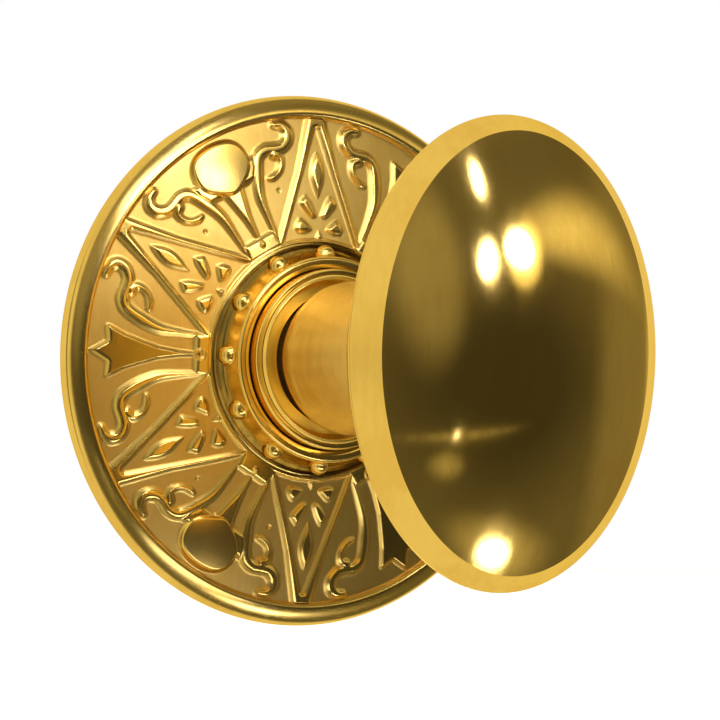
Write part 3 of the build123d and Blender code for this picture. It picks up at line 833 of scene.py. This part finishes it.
# Panels in the room: azimuth, elevation, width, height, tilt, edge, strength.
# A shade's strength is the share of the light that it takes away.
SHADES = [
    (12, -6, 110, 60, 0, 34, 0.62),
    (-77, 0, 14, 70, 0, 4, 0.85),
]
GLOWS = [
    (-26, 20, 22, 40, 0, 10, 0.2),
    (56, 28, 58, 10, -16, 8, 0.88),
    (22, 27, 22, 13, 20, 3, 1.3),
    (-8, -20.4, 36, 1.4, 0, 1.4, 0.45),
    (-15, -27, 10.8, 4.3, -13, 3, 0.35),
    (30, -43, 40, 8, 6, 6, 0.4),
    (92, 0, 40, 60, 0, 18, 0.1),
    (24, 62, 90, 16, 0, 12, 0.14),
]
LAMPS = [
    (5, 44, 7.6, 4.8, 62, 1.0, 10.0),
    (-1, 26, 12.2, 7.6, 44, 1.0, 10.0),
    (-14, -20, 1.3, 1.3, 0, 0.7, 9.0),
    (27, -44, 16, 4.6, 6, 1.5, 10.0),
]


def add_panels(n, ray, light, panels):
    """Add soft-edged oval panels to a brightness."""
    for *panel, strength in panels:
        light = n.math("ADD", light, n.math("MULTIPLY", softbox(n, ray, *panel), strength))
    return light


def make_world():
    """The room that the brass mirrors. The camera and matt surfaces see plain white instead."""
    world = bpy.data.worlds.new("studio")
    bpy.context.scene.world = world
    world.use_nodes = True
    n = Nodes(world.node_tree)
    ray = n.vector("NORMALIZE", n.add("ShaderNodeTexCoord").outputs["Generated"])
    facing = n.vector("DOT_PRODUCT", ray, tuple(direction(*DARK_CENTRE)))
    outer, inner = cos(radians(DARK_REACH + DARK_EDGE)), cos(radians(DARK_REACH - DARK_EDGE))
    light = n.blend(n.scale_range(facing, outer, inner, 1.0, 0.0), DARK_LEVEL, BRIGHT_LEVEL)
    for *panel, share in SHADES:
        shade = n.math("MULTIPLY", softbox(n, ray, *panel), share)
        light = n.math("MULTIPLY", light, n.math("SUBTRACT", 1.0, shade))
    light = add_panels(n, ray, light, GLOWS)
    lamps = add_panels(n, ray, 0.0, LAMPS)
    fill = n.add("ShaderNodeBackground", {"Color": WARM, "Strength": light})
    glints = n.add("ShaderNodeBackground", {"Color": WHITE, "Strength": lamps})
    studio = n.add("ShaderNodeAddShader", {0: fill.outputs[0], 1: glints.outputs[0]})
    backdrop = n.add("ShaderNodeBackground", {"Color": WHITE, "Strength": 1.0})
    mirrored_ray = n.add("ShaderNodeLightPath").outputs["Is Glossy Ray"]
    mix = n.add("ShaderNodeMixShader", {0: mirrored_ray, 1: backdrop.outputs[0], 2: studio.outputs[0]})
    n.add("ShaderNodeOutputWorld", {"Surface": mix.outputs[0]})


FLOOR_REACH = 2.5
FLOOR_DROP = 0.06
PAPER_SHADES = ((0.90, 0.90, 0.89, 1), (0.93, 0.93, 0.92, 1))


def make_floor():
    """A wide sheet of pale paper below the rosette, which the brass does not mirror."""
    level = cad_box[0].z - FLOOR_DROP
    corners = [(-1, -1), (1, -1), (1, 1), (-1, 1)]
    mesh = bpy.data.meshes.new("floor")
    mesh.from_pydata([(FLOOR_REACH * x, FLOOR_REACH * y, level) for x, y in corners], [], [(0, 1, 2, 3)])
    floor = bpy.data.objects.new("floor", mesh)
    bpy.context.collection.objects.link(floor)
    material, n = new_material("pale_floor")
    paper = n.noise(n.add("ShaderNodeTexCoord").outputs["Object"], 40.0, 3.0, 0.5)
    n.surface({"Base Color": n.blend_colour(paper, *PAPER_SHADES), "Roughness": 0.8})
    mesh.materials.append(material)
    floor.visible_glossy = False


def add_area_light(name, shape, width, height, energy):
    """Add an area light, with its size in metres and its energy in watts."""
    lamp = bpy.data.lights.new(name, "AREA")
    lamp.shape = shape
    lamp.size, lamp.size_y = width, height
    lamp.energy = energy
    light = bpy.data.objects.new(name, lamp)
    bpy.context.collection.objects.link(light)
    return light


def make_overhead_light():
    """A wide soft light overhead that only matt surfaces pick up."""
    light = add_area_light("overhead", "DISK", 2.0, 2.0, 70.0)
    light.location = (0, 0, 1.4)
    light.visible_glossy = False


def make_softbox(name, width, height, radiance, target, facing, reach):
    """An oval softbox that lights a target, a point in millimetres, from a distance along a direction."""
    energy = radiance * pi * pi / 4 * width * height
    light = add_area_light(name, "ELLIPSE", width, height, energy)
    light.location = Vector(target) * MM + reach * facing
    light.rotation_euler = facing.to_track_quat("Z", "Y").to_euler()
    light.visible_camera = False


make_world()
make_floor()
# The face and the upper disc mirror the first softbox. The others stand behind the knob, out of its
# sight, and light the rosette.
make_softbox("near", 0.034, 0.021, 10.0, (-3.5, -59.2, 11.8), direction(19, 29), 0.100)
make_softbox("upper_left", 0.040, 0.018, 4.2, (-22.0, -2.5, 24.0), direction(2.7, 29), 0.042)
make_softbox("lower_left", 0.034, 0.016, 2.2, (-12.0, -2.5, -26.0), direction(5, -32), 0.045)
make_overhead_light()

bpy.context.scene.view_settings.view_transform = "Standard"
